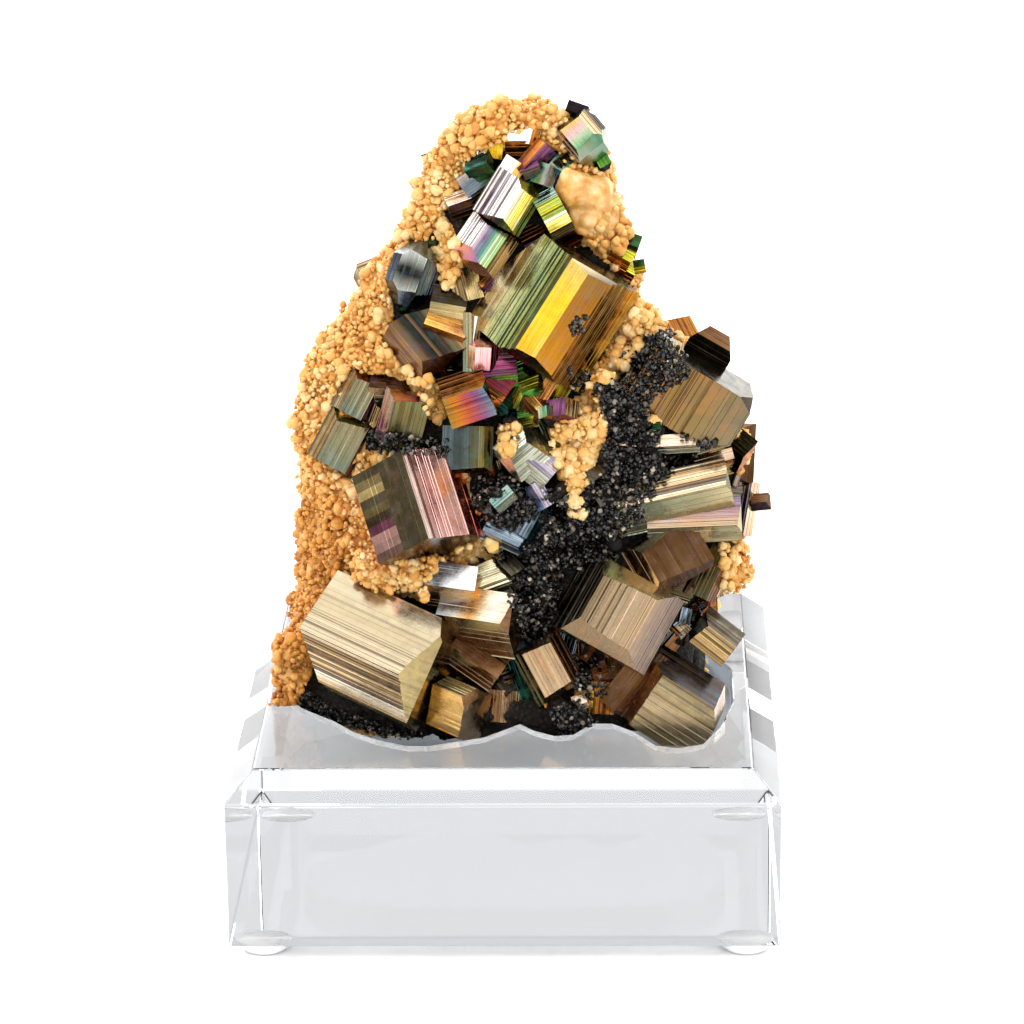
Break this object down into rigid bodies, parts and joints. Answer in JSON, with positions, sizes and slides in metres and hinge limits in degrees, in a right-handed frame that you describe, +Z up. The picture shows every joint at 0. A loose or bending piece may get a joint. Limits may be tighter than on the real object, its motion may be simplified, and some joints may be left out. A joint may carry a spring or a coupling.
{
  "type": "iridescent pyrite specimen on a clear display block",
  "caption": "Cluster of striated iridescent pyrite crystals with calcite crust, fixed in the top of a clear bevelled display block on small round feet.",
  "frame": {"origin": "under the middle of the block, on the surface that its feet stand on", "axes": "+Z up, +Y away from the viewer through the block, +X to the viewer's right"},
  "size_m": [0.076, 0.076, 0.1117],
  "materials": {
    "pyrite": "tarnished striated crystal faces, film colours from gold to violet, blue and green, with honey calcite crust and black crust between them",
    "acrylic": "clear, polished outside, ground matt in the seat",
    "bumper": "clear soft polyurethane"
  },
  "bodies": {
    "root": {"specimen": "pyrite", "display_block": "acrylic", "foot_front_left": "bumper", "foot_front_right": "bumper", "foot_back_left": "bumper", "foot_back_right": "bumper"}
  },
  "joints": []
}
